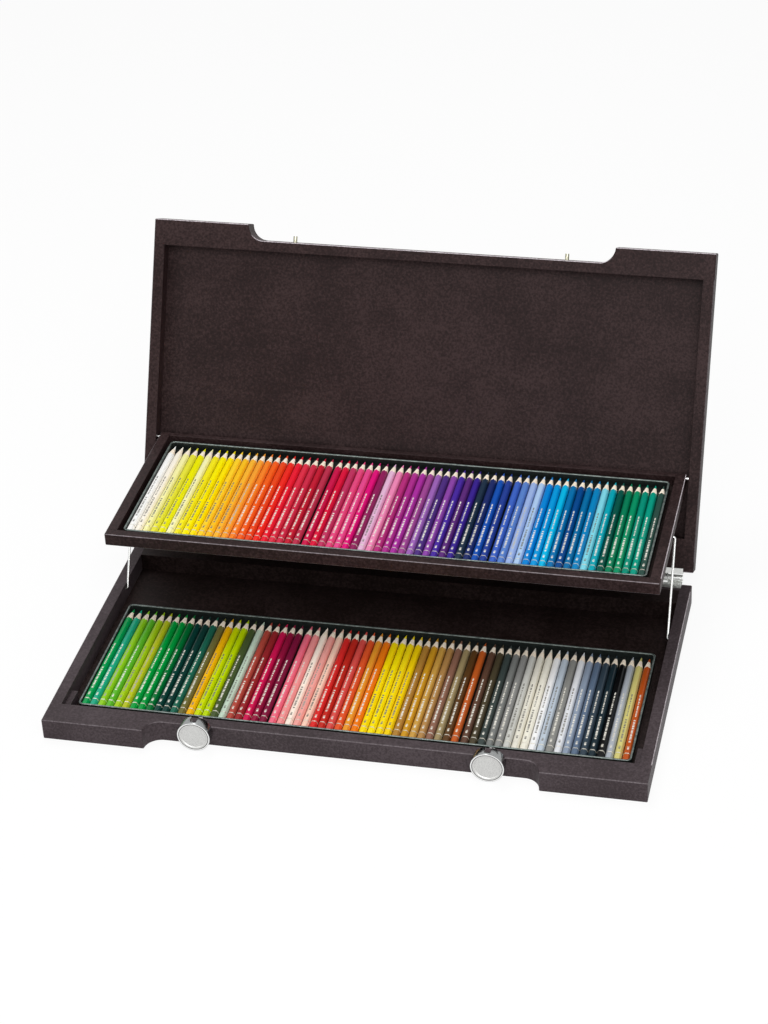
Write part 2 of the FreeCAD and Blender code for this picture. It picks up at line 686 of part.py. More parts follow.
def rounded_outline(sketch, half_x, half_y, corner):
    """A rectangle with round corners about the sketch's origin."""
    across = worked_out(half_x)
    deep = worked_out(half_y)
    bend = worked_out(corner)
    flat_x = across - bend
    flat_y = deep - bend
    up = Vector(0, 0, 1)
    quarter = math.pi / 2
    sketch.addGeometry([
        Part.LineSegment(Vector(-flat_x, -deep, 0), Vector(flat_x, -deep, 0)),
        Part.ArcOfCircle(Part.Circle(Vector(flat_x, -flat_y, 0), up, bend), -quarter, 0),
        Part.LineSegment(Vector(across, -flat_y, 0), Vector(across, flat_y, 0)),
        Part.ArcOfCircle(Part.Circle(Vector(flat_x, flat_y, 0), up, bend), 0, quarter),
        Part.LineSegment(Vector(flat_x, deep, 0), Vector(-flat_x, deep, 0)),
        Part.ArcOfCircle(Part.Circle(Vector(-flat_x, flat_y, 0), up, bend), quarter, math.pi),
        Part.LineSegment(Vector(-across, flat_y, 0), Vector(-across, -flat_y, 0)),
        Part.ArcOfCircle(Part.Circle(Vector(-flat_x, -flat_y, 0), up, bend), -math.pi, -quarter),
    ])
    rule = Sketcher.Constraint
    for edge, following in neighbours(sketch):
        sketch.addConstraint(rule("Tangent", edge, 2, following, 1))
    sketch.addConstraint([
        rule("Horizontal", 4),
        rule("Vertical", 6),
        rule("Equal", 1, 3),
        rule("Equal", 3, 5),
        rule("Symmetric", 0, 1, 0, 2, -2),
        rule("Symmetric", 2, 1, 2, 2, -1),
    ])
    dimension(sketch, "half_x", half_x, "DistanceX", -1, 1, 2, 1)
    dimension(sketch, "half_y", half_y, "DistanceY", -1, 1, 4, 1)
    dimension(sketch, "corner", corner, "Radius", 1)


# Tins: shallow pressed trays with round corners and a rolled rim, one to each tier
def tin(name, count, front, floor):
    half_x = "(%d * pencil_pitch / 2 + group_gap + tin_side_room)" % count
    half_y = "(pencil_length / 2 + tin_end_room)"
    middle_y = front + " + tin_depth / 2"
    top = floor + " + tin_height"
    pressed = body(name)
    layers = {
        "shell": (floor, " + tin_sheet", "tin_height"),
        "rim": (top + " - tin_rim_height", " + tin_sheet + tin_rim", "tin_rim_height"),
    }
    for layer, (low, reach, thick) in layers.items():
        outline = flat_sketch(pressed, layer + "_outline", "XY_Plane", ("0", middle_y, low))
        rounded_outline(outline, half_x + reach, half_y + reach, "tin_corner" + reach)
        pad = pressed.newObject("PartDesign::Pad", name + "_" + layer)
        pad.Profile = outline
        pad.setExpression("Length", on_sheet(thick))
        doc.recompute()
    filled = pressed.Shape.Volume
    inside = flat_sketch(pressed, "inside_outline", "XY_Plane", ("0", middle_y, top))
    rounded_outline(inside, half_x, half_y, "tin_corner")
    hollow = pressed.newObject("PartDesign::Pocket", name + "_hollow")
    hollow.Profile = inside
    hollow.setExpression("Length", on_sheet("tin_height - tin_sheet"))
    doc.recompute()
    if pressed.Shape.Volume >= filled:
        raise SystemExit(name + " was not hollowed")
    return pressed


# Pencils: six-sided, lying on a flat, sharpened to a point whose end is the coloured lead
def pencil():
    """One pencil on its bed, with its blunt end at the origin and its point along Y."""
    radius = worked_out("pencil_flats / cos(30) / 2")
    axis = worked_out("pencil_flats / 2")
    shoulder = worked_out("pencil_length - pencil_cone")
    turns = [2 * math.pi * step / FLATS for step in range(FLATS)]
    blunt = [Vector(radius * math.cos(turn), 0, axis + radius * math.sin(turn)) for turn in turns]
    carved = [corner + Vector(0, shoulder, 0) for corner in blunt]
    tip = Vector(0, worked_out("pencil_length"), axis)
    outlines = [blunt]
    for near, far in zip(zip(blunt, blunt[1:] + blunt[:1]), zip(carved, carved[1:] + carved[:1])):
        outlines.append([near[0], near[1], far[1], far[0]])
        outlines.append([far[0], far[1], tip])
    faces = [Part.Face(Part.makePolygon(outline + outline[:1])) for outline in outlines]
    return Part.makeSolid(Part.makeShell(faces))


def pencil_groups(name, counts, front, floor):
    """The pencils of one tin, as one piece for each of its groups."""
    pitch = worked_out("pencil_pitch")
    gap = worked_out("group_gap")
    end = worked_out(front + " + tin_rim + tin_sheet + tin_end_room")
    bed = worked_out(floor + " + tin_sheet")
    x = (pitch - sum(counts) * pitch - (len(counts) - 1) * gap) / 2
    one = pencil()
    groups = []
    for number, count in enumerate(counts, start=1):
        row = []
        for _ in range(count):
            copy = one.copy()
            copy.translate(Vector(x, end, bed))
            row.append(copy)
            x += pitch
        x += gap
        groups.append(solids_piece("%s_pencils_%d" % (name, number), row))
    return groups


LOWER_FRONT = FRONT + " + front_rail + lower_tin_gap"
UPPER_FRONT = "tray_front + tray_front_room"
tin("lower_tin", sum(LOWER_GROUPS), LOWER_FRONT, "base_panel")
pencil_groups("lower", LOWER_GROUPS, LOWER_FRONT, "base_panel")
tray_parts.append(tin("upper_tin", sum(UPPER_GROUPS), UPPER_FRONT, "tray_panel"))
tray_parts += pencil_groups("upper", UPPER_GROUPS, UPPER_FRONT, "tray_panel")

# Open the case: the lid swings back on its hinges and lifts the tray, which stays level
SWING_Y = HINGE_Y + " * (1 - cos(lid_open)) - " + HINGE_Z + " * sin(lid_open)"
SWING_Z = HINGE_Z + " * (1 - cos(lid_open)) + " + HINGE_Y + " * sin(lid_open)"
SWING = "placement(vector(0; " + SWING_Y + "; " + SWING_Z + "); rotation(vector(-1; 0; 0); lid_open))"
LIFT_Y = HINGE_Y + " - " + REACH + " * cos(lid_open) + " + RISE + " * sin(lid_open) + pin_inset - tray_depth"
LIFT_Z = HINGE_Z + " + " + REACH + " * sin(lid_open) + " + RISE + " * cos(lid_open) + pin_edge - tray_height"
for part in lid_parts:
    part.setExpression("Placement", on_sheet(SWING))
for part in tray_parts:
    part.setExpression("Placement.Base.y", on_sheet(LIFT_Y))
    part.setExpression("Placement.Base.z", on_sheet(LIFT_Z))
doc.recompute()

# Every object is checked before any file is written
for item in doc.Objects:
    if "Invalid" in item.State or "Error" in item.State:
        raise SystemExit(item.Name + " failed to build: " + item.getStatusString())
for name, item in pieces.items():
    if item.Shape.isNull() or not item.Shape.isValid() or not item.Shape.Solids:
        raise SystemExit(name + " has no sound shape")

os.makedirs("parts", exist_ok=True)
for name, item in pieces.items():
    item.Shape.exportStep("parts/%s.step" % name)
    print(name, len(item.Shape.Solids), "solid(s),", round(item.Shape.Volume), "cubic mm")
print(len(pieces), "pieces")
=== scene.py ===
import math

import bpy
from mathutils import Matrix, Vector


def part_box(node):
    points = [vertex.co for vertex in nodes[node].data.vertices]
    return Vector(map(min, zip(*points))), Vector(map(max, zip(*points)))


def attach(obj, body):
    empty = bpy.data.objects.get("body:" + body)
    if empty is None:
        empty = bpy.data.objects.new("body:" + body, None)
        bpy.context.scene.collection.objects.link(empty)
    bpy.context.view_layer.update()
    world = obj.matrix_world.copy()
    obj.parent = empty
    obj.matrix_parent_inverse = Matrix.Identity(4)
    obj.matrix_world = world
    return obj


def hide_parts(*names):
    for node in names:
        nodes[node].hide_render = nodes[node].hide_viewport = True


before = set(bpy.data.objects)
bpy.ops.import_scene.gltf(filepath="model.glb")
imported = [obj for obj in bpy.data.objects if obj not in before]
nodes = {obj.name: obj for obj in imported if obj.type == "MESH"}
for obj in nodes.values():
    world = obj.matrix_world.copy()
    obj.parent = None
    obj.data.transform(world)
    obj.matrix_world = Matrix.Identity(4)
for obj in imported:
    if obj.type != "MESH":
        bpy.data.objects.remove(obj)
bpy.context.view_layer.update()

# The boards of base, lid and tray: hardwood, sawn and planed, glued at the corners, stained
# almost black and sprayed with a satin lacquer. Panels of the same veneer are glued in. The
# grain runs along each board, and the lid's boards lean back with the lid.
mm = 0.001
bpy.ops.object.select_all(action="DESELECT")


def colour(code):
    """An sRGB hex colour as the linear values that Blender takes."""
    parts = [int(code[place:place + 2], 16) / 255 for place in (1, 3, 5)]
    linear = [part / 12.92 if part <= 0.04045 else ((part + 0.055) / 1.055) ** 2.4 for part in parts]
    return linear + [1.0]


def node(owner, kind, settings=None, links=None):
    """Add a node to a material or world, with its settings, and with links from other nodes."""
    made = owner.node_tree.nodes.new(kind)
    for name, value in (settings or {}).items():
        if name == "stops":
            elements = made.color_ramp.elements
            elements[0].position, elements[1].position = value[0][0], value[-1][0]
            for place, _ in value[1:-1]:
                elements.new(place)
            for element, (_, code) in zip(elements, value):
                element.color = colour(code)
        elif isinstance(name, str) and hasattr(made, name):
            setattr(made, name, value)
        else:
            made.inputs[name].default_value = value
    for name, (origin, output) in (links or {}).items():
        owner.node_tree.links.new(origin.outputs[output], made.inputs[name])
    return made


def new_material(name):
    """A material with no nodes yet."""
    made = bpy.data.materials.new(name)
    made.use_nodes = True
    made.node_tree.nodes.clear()
    return made


def stained_wood(name, turn, tones, wear_and_highlight):
    """Stained hardwood under satin lacquer: nearly black, with a fine pebble and soft clouds in it.

    The lacquer sinks into the pores, which gives the pebble. Along the eased edges the colour is
    painted pale, as worn lacquer and as a painted highlight, as strongly as the last argument says.
    """
    material = new_material(name)
    place = node(material, "ShaderNodeTexCoord")
    along = node(material, "ShaderNodeMapping", {"Rotation": turn}, {"Vector": (place, "Object")})
    # Figure in bands 9 mm wide and 200 mm long, clouds 60 mm wide, and pits 2.5 mm apart, which
    # are drawn five times as coarse as real pores so that they show
    bands = node(material, "ShaderNodeMapping", {"Scale": (5, 110, 110)}, {"Vector": (along, "Vector")})
    figure = node(material, "ShaderNodeTexNoise", {"Scale": 1, "Detail": 5, "Distortion": 0.6},
                  {"Vector": (bands, "Vector")})
    clouds = node(material, "ShaderNodeTexNoise", {"Scale": 16, "Detail": 3},
                  {"Vector": (place, "Object")})
    pits = node(material, "ShaderNodeTexNoise", {"Scale": 400, "Detail": 3, "Roughness": 0.65},
                {"Vector": (place, "Object")})
    soft = node(material, "ShaderNodeMix", {"data_type": "FLOAT", 0: 0.8},
                {2: (figure, "Fac"), 3: (clouds, "Fac")})
    depth = node(material, "ShaderNodeMix", {"data_type": "FLOAT", 0: 0.65},
                 {2: (soft, 0), 3: (pits, "Fac")})
    stain = node(material, "ShaderNodeValToRGB",
                 {"stops": tuple(zip((0.41, 0.5, 0.59), tones))}, {"Fac": (depth, 0)})
    # An eased edge lies halfway between two faces of the board. There the colour is painted pale,
    # as worn lacquer and as a painted highlight
    facing = node(material, "ShaderNodeMapping", {"Rotation": turn}, {"Vector": (place, "Normal")})
    sides = node(material, "ShaderNodeSeparateXYZ", links={"Vector": (facing, "Vector")})
    sideways = node(material, "ShaderNodeMath", {"operation": "ABSOLUTE"}, {0: (sides, "Y")})
    upwards = node(material, "ShaderNodeMath", {"operation": "ABSOLUTE"}, {0: (sides, "Z")})
    between = node(material, "ShaderNodeMath", {"operation": "MINIMUM"},
                   {0: (sideways, 0), 1: (upwards, 0)})
    worn_highlight = node(material, "ShaderNodeMapRange", {"From Min": 0.4, "From Max": 0.68, "To Max": wear_and_highlight},
                  {"Value": (between, 0)})
    worn_highlight_tone = node(material, "ShaderNodeValToRGB", {"stops": ((0.35, "#9C9195"), (0.65, "#CFC7CC"))},
                {"Fac": (pits, "Fac")})
    coat = node(material, "ShaderNodeMix", {"data_type": "RGBA"},
                {0: (worn_highlight, 0), 6: (stain, "Color"), 7: (worn_highlight_tone, "Color")})
    gloss = node(material, "ShaderNodeMapRange",
                 {"From Min": 0.3, "From Max": 0.7, "To Min": 0.42, "To Max": 0.58},
                 {"Value": (pits, "Fac")})
    relief = node(material, "ShaderNodeBump", {"Strength": 0.6, "Distance": 0.25 * mm},
                  {"Height": (pits, "Fac")})
    finish = node(material, "ShaderNodeBsdfPrincipled", {"Specular IOR Level": 0.12},
                  {"Base Color": (coat, 2), "Roughness": (gloss, 0), "Normal": (relief, "Normal")})
    node(material, "ShaderNodeOutputMaterial", links={"Surface": (finish, "BSDF")})
    return material


facet_seam, sharp_from = 0.002 * mm, math.radians(35)


def dress(names, material, rounding=0.0):
    """Give CAD nodes a material, and round their edges where a radius is given.

    A CAD node's mesh is loose triangles, which are joined before their edges are eased.
    """
    for name in names:
        piece = nodes[name]
        for material_slot in piece.material_slots:
            material_slot.link = "OBJECT"
            material_slot.material = material
        if rounding:
            weld = piece.modifiers.new("joined", "WELD")
            weld.merge_threshold = facet_seam
            eased = piece.modifiers.new("eased", "BEVEL")
            eased.width = rounding
            eased.segments = 2
            eased.limit_method = "ANGLE"
            eased.angle_limit = sharp_from
            eased.use_clamp_overlap = True


# The base takes the lightest tones and lid and tray darker ones. The panels and rear ledge inside take
# the darkest: a darker veneer, and painted shade for the shade they lie in inside the case
base_tones = ("#362E30", "#40373A", "#4B4245")
lid_tones = ("#1D1212", "#291C1C", "#372929")
dark_and_shaded_inner_tones = ("#160E0C", "#201716", "#2D2221")
lid_open, quarter = math.radians(116), math.radians(90)
# The grain's turn from the X axis: along the rails or across them, level or leaning with the lid
along_rails, along_sides = (0, 0, 0), (0, 0, -quarter)
along_lid_rails, along_lid_sides = (lid_open, 0, 0), (lid_open, 0, -quarter)
tray_edge, highlit_edge, block_edge = 0.5 * mm, 0.9 * mm, 0.4 * mm
# The right-hand edges of base and tray, like the lid's rails, carry the strongest painted highlight
# along their eased edges, and the tray's right rail has a wider rounding
for finish_name, turn, tones, wear_and_highlight, edge, boards in (
    ("hardwood_base_rails", along_rails, base_tones, 0.15, 0, ["base_front_rail", "base_rear_wall"]),
    ("hardwood_base_side", along_sides, base_tones, 0.1, 0, ["base_wall_left"]),
    ("hardwood_highlit_base_side", along_sides, base_tones, 0.8, 0, ["base_wall_right"]),
    ("hardwood_lid_rails", along_lid_rails, lid_tones, 1.0, 0, ["lid_front_rail", "lid_rear_wall"]),
    ("hardwood_lid_sides", along_lid_sides, lid_tones, 0.15, 0, ["lid_wall_left", "lid_wall_right"]),
    ("hardwood_tray_rails", along_rails, lid_tones, 0.45, tray_edge,
     ["tray_front_rail", "tray_rear_rail"]),
    ("hardwood_tray_side", along_sides, lid_tones, 0.2, tray_edge, ["tray_rail_left"]),
    ("hardwood_highlit_tray_side", along_sides, lid_tones, 1.0, highlit_edge, ["tray_rail_right"]),
    ("hardwood_blocks", along_sides, base_tones, 0.3, block_edge,
     ["rest_block_left", "rest_block_right"]),
    ("veneer_lid", along_lid_rails, lid_tones, 0.3, 0, ["lid_panel", "lid_rear_ledge"]),
    ("veneer_inside", along_rails, dark_and_shaded_inner_tones, 0.3, 0, ["base_panel", "base_rear_ledge", "tray_panel"]),
):
    dress(boards, stained_wood("stained_" + finish_name, turn, tones, wear_and_highlight), edge)

# Hinges: two leaves of extruded aluminium for each, anodised in a satin silver. They interlock
# in a barrel on a steel pin, and lie in rebates between base and lid.
# Satin anodising: pale grey metal with a soft sheen, and fine lines along the extrusion.
aluminium = new_material("satin_anodised_aluminium")
place = node(aluminium, "ShaderNodeTexCoord")
# Lines 0.25 mm apart and 30 mm long
drawn = node(aluminium, "ShaderNodeMapping", {"Scale": (30, 4000, 4000)},
             {"Vector": (place, "Object")})
lines = node(aluminium, "ShaderNodeTexNoise", {"Scale": 1, "Detail": 2},
             {"Vector": (drawn, "Vector")})
shade = node(aluminium, "ShaderNodeValToRGB", {"stops": ((0.3, "#C6C8C6"), (0.7, "#DEDFDC"))},
             {"Fac": (lines, "Fac")})
gloss = node(aluminium, "ShaderNodeMapRange", {"To Min": 0.24, "To Max": 0.38},
             {"Value": (lines, "Fac")})
finish = node(aluminium, "ShaderNodeBsdfPrincipled", {"Metallic": 1},
              {"Base Color": (shade, "Color"), "Roughness": (gloss, 0)})
node(aluminium, "ShaderNodeOutputMaterial", links={"Surface": (finish, "BSDF")})
dress(["base_hinge_leaf_left", "base_hinge_leaf_right", "lid_hinge_leaf_left", "lid_hinge_leaf_right"],
      aluminium)

# Pins: drawn steel, nickel plated and cut to length. Hinges and tray turn on them. The thicker
# latch pins stand out of the lid's front rail, and the knobs sit on turned spindles.
spindle_edge, latch_edge = 0.2 * mm, 0.4 * mm


def plated_steel(name, dark, light, smooth, rough):
    """Steel under a thin bright plate, which keeps faint rub marks about 1 mm apart."""
    material = new_material(name)
    place = node(material, "ShaderNodeTexCoord")
    marks = node(material, "ShaderNodeTexNoise", {"Scale": 900, "Detail": 3},
                 {"Vector": (place, "Object")})
    shade = node(material, "ShaderNodeValToRGB", {"stops": ((0.3, dark), (0.7, light))},
                 {"Fac": (marks, "Fac")})
    gloss = node(material, "ShaderNodeMapRange", {"To Min": smooth, "To Max": rough},
                 {"Value": (marks, "Fac")})
    finish = node(material, "ShaderNodeBsdfPrincipled", {"Metallic": 1},
                  {"Base Color": (shade, "Color"), "Roughness": (gloss, 0)})
    node(material, "ShaderNodeOutputMaterial", links={"Surface": (finish, "BSDF")})
    return material


# Nickel is nearly white, with a sharp sheen, and zinc is a duller, faintly yellow grey
steel = plated_steel("bright_nickel_plated_steel", "#CBCCCB", "#E6E6E4", 0.14, 0.28)
zinc = plated_steel("yellow_zinc_plated_steel", "#8E8C7A", "#B4B2A0", 0.2, 0.34)
dress(["hinge_pin_left", "hinge_pin_right", "tray_pin_left", "tray_pin_right"], steel)
dress(["knob_spindle_left", "knob_spindle_right"], steel, spindle_edge)
dress(["latch_pin_left", "latch_pin_right"], zinc, latch_edge)

# Hinge screws: steel, with a low head that has a cross recess and a broken edge. Four hold the
# base's leaves and four the lid's.
head_radius, head_thick, head_edge = 2.8 * mm, 0.9 * mm, 0.25 * mm
shank_radius, shank_length = 1.5 * mm, 10 * mm
recess_half, recess_reach, recess_depth = 0.4 * mm, 1.9 * mm, 0.5 * mm
leaf_middle, screw_offset, leaf_face = 267 * mm, 20 * mm, 172 * mm
base_screw_height, lid_screw_height = 12.5 * mm, 34.8 * mm
hinge_axis = Matrix.Translation((0, 177 * mm, 26 * mm))


def pick(piece):
    """Select one piece alone and make it the active one."""
    bpy.ops.object.select_all(action="DESELECT")
    piece.select_set(True)
    bpy.context.view_layer.objects.active = piece


def edit(piece):
    """Start work on one piece in edit mode, with nothing selected."""
    pick(piece)
    bpy.ops.object.mode_set(mode="EDIT")
    bpy.ops.mesh.select_all(action="DESELECT")


def choose(piece, wanted, kind="FACE"):
    """Select the faces whose middle and normal pass a test, or edges by middle and direction."""
    bpy.ops.object.mode_set(mode="OBJECT")
    mesh = piece.data
    for part in (*mesh.vertices, *mesh.edges, *mesh.polygons):
        part.select = False
    if kind == "FACE":
        for face in mesh.polygons:
            face.select = wanted(face.center, face.normal)
    else:
        for edge in mesh.edges:
            first, second = (mesh.vertices[corner].co for corner in edge.vertices)
            edge.select = wanted((first + second) / 2, (second - first).normalized())
    bpy.ops.object.mode_set(mode="EDIT")
    bpy.ops.mesh.select_mode(type=kind)


def done(piece, smooth=40):
    """Leave edit mode, with flat and round surfaces told apart by angle."""
    bpy.ops.object.mode_set(mode="OBJECT")
    pick(piece)
    bpy.ops.object.shade_smooth_by_angle(angle=math.radians(smooth))
    piece.select_set(False)


def placed(piece, matrix):
    """Move a finished piece by a matrix that goes into its mesh."""
    piece.matrix_world = matrix
    pick(piece)
    bpy.ops.object.transform_apply(location=True, rotation=True, scale=True)
    piece.select_set(False)


def copied(piece, name, matrix):
    """A copy of a piece with its own mesh, moved by a matrix."""
    twin = piece.copy()
    twin.data = piece.data.copy()
    twin.name = name
    bpy.context.collection.objects.link(twin)
    placed(twin, matrix)
    return twin


def joined(pieces, name):
    """Several meshes as one piece."""
    bpy.ops.object.select_all(action="DESELECT")
    for piece in pieces:
        piece.select_set(True)
    bpy.context.view_layer.objects.active = pieces[0]
    bpy.ops.object.join()
    pieces[0].name = name
    return pieces[0]


bpy.ops.mesh.primitive_cylinder_add(vertices=24, radius=head_radius, depth=head_thick,
                                    location=(0, 0, head_thick / 2))
screw = bpy.context.object
edit(screw)
choose(screw, lambda middle, normal: normal.z > 0.9)
bpy.ops.mesh.bevel(offset=head_edge, segments=2, affect="EDGES")
for across in (Vector((1, 0, 0)), Vector((0, 1, 0))):
    for offset in (-recess_half, recess_half, -recess_reach, recess_reach):
        choose(screw, lambda middle, normal: normal.z > 0.9)
        bpy.ops.mesh.bisect(plane_co=across * offset, plane_no=across)
choose(screw, lambda middle, normal: normal.z > 0.9 and (
    (abs(middle.x) < recess_half and abs(middle.y) < recess_reach)
    or (abs(middle.y) < recess_half and abs(middle.x) < recess_reach)))
bpy.ops.mesh.extrude_region_move(TRANSFORM_OT_translate={"value": (0, 0, -recess_depth)})
choose(screw, lambda middle, normal: normal.z < -0.9)
bpy.ops.mesh.inset(thickness=head_radius - shank_radius)
bpy.ops.mesh.extrude_region_move(TRANSFORM_OT_translate={"value": (0, 0, -shank_length)})
done(screw)
screw.data.materials.append(steel)
swing_back = hinge_axis @ Matrix.Rotation(-lid_open, 4, "X") @ hinge_axis.inverted()
for body, height, swing in (("base", base_screw_height, Matrix()),
                            ("lid", lid_screw_height, swing_back)):
    copies = []
    for x in (-leaf_middle - screw_offset, -leaf_middle + screw_offset,
              leaf_middle - screw_offset, leaf_middle + screw_offset):
        seat = Matrix.Translation((x, leaf_face, height)) @ Matrix.Rotation(-quarter, 4, "X")
        copies.append(copied(screw, body + "_screw", swing @ seat))
    group = joined(copies, body + "_screws")
    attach(group, body)
    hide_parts(body + "_hinge_screws")
bpy.data.objects.remove(screw)

# Links: hard steel wire, 2.4 mm thick, bent to a crank at each end. One end turns in the
# base's wall and the other in the tray's rail, behind it.
wire_radius, bend, bend_seam, wire_smooth = 1.2 * mm, 2.2 * mm, 0.001 * mm, 50
wall_end, tray_end, run = 302 * mm, 286.5 * mm, 294.25 * mm
lower_pivot = Vector((0, 77 * mm, 17.2 * mm))
upper_pivot = Vector((0, 126.332 * mm, 112.187 * mm))
length = (upper_pivot - lower_pivot).length
bpy.ops.mesh.primitive_circle_add(vertices=16, radius=wire_radius, fill_type="NGON",
                                  location=(wall_end, 0, 0), rotation=(0, quarter, 0))
wire = bpy.context.object
bpy.ops.object.transform_apply(location=True, rotation=True)
edit(wire)
bpy.ops.mesh.select_all(action="SELECT")
bpy.ops.mesh.extrude_region_move(TRANSFORM_OT_translate={"value": (run + bend - wall_end, 0, 0)})
bpy.ops.mesh.spin(steps=8, angle=quarter, center=(run + bend, bend, 0), axis=(0, 0, 1))
bpy.ops.mesh.extrude_region_move(TRANSFORM_OT_translate={"value": (0, length - 2 * bend, 0)})
bpy.ops.mesh.spin(steps=8, angle=quarter, center=(run - bend, length - bend, 0), axis=(0, 0, -1))
bpy.ops.mesh.extrude_region_move(TRANSFORM_OT_translate={"value": (tray_end - run + bend, 0, 0)})
bpy.ops.mesh.select_all(action="SELECT")
bpy.ops.mesh.remove_doubles(threshold=bend_seam)
bpy.ops.mesh.normals_make_consistent(inside=False)
done(wire, wire_smooth)
wire.data.materials.append(steel)
lean = math.atan2(upper_pivot.z - lower_pivot.z, upper_pivot.y - lower_pivot.y)
stand = Matrix.Translation(lower_pivot) @ Matrix.Rotation(lean, 4, "X")
for side, mirror in (("left", -1), ("right", 1)):
    link = copied(wire, "wire_link_" + side, stand @ Matrix.Diagonal((mirror, 1, 1, 1)))
    edit(link)
    bpy.ops.mesh.select_all(action="SELECT")
    bpy.ops.mesh.normals_make_consistent(inside=False)
    done(link, wire_smooth)
    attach(link, side + "_link")
    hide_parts("link_rod_" + side)
bpy.data.objects.remove(wire)

# Knobs: turned from aluminium bar, with a slot at the back for the lid's pin and a shallow dish
# in the face. The dish is blasted and the rim polished. Each is screwed to its spindle.
# Turned aluminium: a soft grey grain in the dish and a painted shadow line round it. The polished rim
# is brightened as a painted highlight, and the side is darkened as a painted reflection.
knob_metal = new_material("turned_aluminium")
low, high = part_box("knob_right")
knob_middle, knob_radius, rim_width, knob_edge = (low + high) / 2, 17 * mm, 1.8 * mm, 0.3 * mm
# The painted shadow line between dish and rim, for the shade under the rim's lip, is 0.4 mm wide
# and fades out over 0.2 mm on both sides
dish_share, shadow_line_share, fade_share = (knob_radius - rim_width) / knob_radius, 0.012, 0.025
place = node(knob_metal, "ShaderNodeTexCoord")
apart = node(knob_metal, "ShaderNodeSeparateXYZ", links={"Vector": (place, "Object")})
either = node(knob_metal, "ShaderNodeMath", {"operation": "ABSOLUTE"}, {0: (apart, "X")})
across = node(knob_metal, "ShaderNodeMath", {"operation": "SUBTRACT", 1: knob_middle.x},
              {0: (either, 0)})
above = node(knob_metal, "ShaderNodeMath", {"operation": "SUBTRACT", 1: knob_middle.z},
             {0: (apart, "Z")})
spoke = node(knob_metal, "ShaderNodeCombineXYZ", links={"X": (across, 0), "Y": (above, 0)})
out = node(knob_metal, "ShaderNodeVectorMath", {"operation": "LENGTH"}, {"Vector": (spoke, "Vector")})
out_share = node(knob_metal, "ShaderNodeMath", {"operation": "DIVIDE", 1: knob_radius},
                 {0: (out, "Value")})
# From the middle out: dish, painted shadow line, polished rim made brighter as a painted highlight,
# and the side, made darker as a painted reflection of dark surroundings
rings_and_painted_light = node(knob_metal, "ShaderNodeValToRGB", {"stops": (
    (dish_share - fade_share, "#D9D9D7"), (dish_share - shadow_line_share, "#2A2A28"),
    (dish_share + shadow_line_share, "#2A2A28"), (dish_share + fade_share, "#FAFAF9"),
    (0.98, "#FAFAF9"), (0.995, "#A4A6A6"))}, {"Fac": (out_share, 0)})
# Grit marks of 0.6 mm, drawn three times as coarse as blasting leaves them
grit = node(knob_metal, "ShaderNodeTexNoise", {"Scale": 1600, "Detail": 2},
            {"Vector": (place, "Object")})
fleck = node(knob_metal, "ShaderNodeValToRGB", {"stops": ((0.35, "#DEDEDE"), (0.65, "#FFFFFF"))},
             {"Fac": (grit, "Fac")})
shade = node(knob_metal, "ShaderNodeMix", {"data_type": "RGBA", "blend_type": "MULTIPLY", 0: 1.0},
             {6: (rings_and_painted_light, "Color"), 7: (fleck, "Color")})
gloss = node(knob_metal, "ShaderNodeMapRange",
             {"From Min": dish_share, "From Max": dish_share + 0.03, "To Min": 0.5, "To Max": 0.2},
             {"Value": (out_share, 0)})
relief = node(knob_metal, "ShaderNodeBump", {"Strength": 0.12, "Distance": 0.1 * mm},
              {"Height": (grit, "Fac")})
finish = node(knob_metal, "ShaderNodeBsdfPrincipled", {"Metallic": 1},
              {"Base Color": (shade, 2), "Roughness": (gloss, 0), "Normal": (relief, "Normal")})
node(knob_metal, "ShaderNodeOutputMaterial", links={"Surface": (finish, "BSDF")})
dress(["knob_left", "knob_right"], knob_metal, knob_edge)

# Tins: shallow trays pressed from tinplate and stove-enamelled black, with a rolled rim. The
# pencils lie in them loose, side by side.
# Stoved enamel: almost black and smooth, with a faint orange peel.
enamel = new_material("black_stoved_enamel")
place = node(enamel, "ShaderNodeTexCoord")
# Orange peel about 2.5 mm wide
peel = node(enamel, "ShaderNodeTexNoise", {"Scale": 400, "Detail": 4},
            {"Vector": (place, "Object")})
shade = node(enamel, "ShaderNodeValToRGB", {"stops": ((0.3, "#0E1211"), (0.7, "#1B211F"))},
             {"Fac": (peel, "Fac")})
relief = node(enamel, "ShaderNodeBump", {"Strength": 0.08, "Distance": 0.2 * mm},
              {"Height": (peel, "Fac")})
finish = node(enamel, "ShaderNodeBsdfPrincipled", {"Roughness": 0.35, "Specular IOR Level": 0.3},
              {"Base Color": (shade, "Color"), "Normal": (relief, "Normal")})
node(enamel, "ShaderNodeOutputMaterial", links={"Surface": (finish, "BSDF")})
# The rolled rim is painted a lighter grey, partly as enamel worn through to metal and partly as a
# painted highlight along the bead, in patches about 4 mm wide.
worn_highlit_rim = new_material("worn_highlit_tinplate_rim")
place = node(worn_highlit_rim, "ShaderNodeTexCoord")
wear_and_highlight = node(worn_highlit_rim, "ShaderNodeTexNoise", {"Scale": 260, "Detail": 4},
            {"Vector": (place, "Object")})
shade = node(worn_highlit_rim, "ShaderNodeValToRGB", {"stops": ((0.3, "#515B58"), (0.7, "#828C88"))},
             {"Fac": (wear_and_highlight, "Fac")})
gloss = node(worn_highlit_rim, "ShaderNodeMapRange", {"To Min": 0.25, "To Max": 0.45},
             {"Value": (wear_and_highlight, "Fac")})
finish = node(worn_highlit_rim, "ShaderNodeBsdfPrincipled", {"Metallic": 0.5},
              {"Base Color": (shade, "Color"), "Roughness": (gloss, 0)})
node(worn_highlit_rim, "ShaderNodeOutputMaterial", links={"Surface": (finish, "BSDF")})
sheet, rim_reach, rim_height, rim_rounding = 0.8 * mm, 1.4 * mm, 1.6 * mm, 0.6 * mm
inner_corner, highlit_rim_depth, near = 4.5 * mm, 0.7 * mm, 0.1 * mm
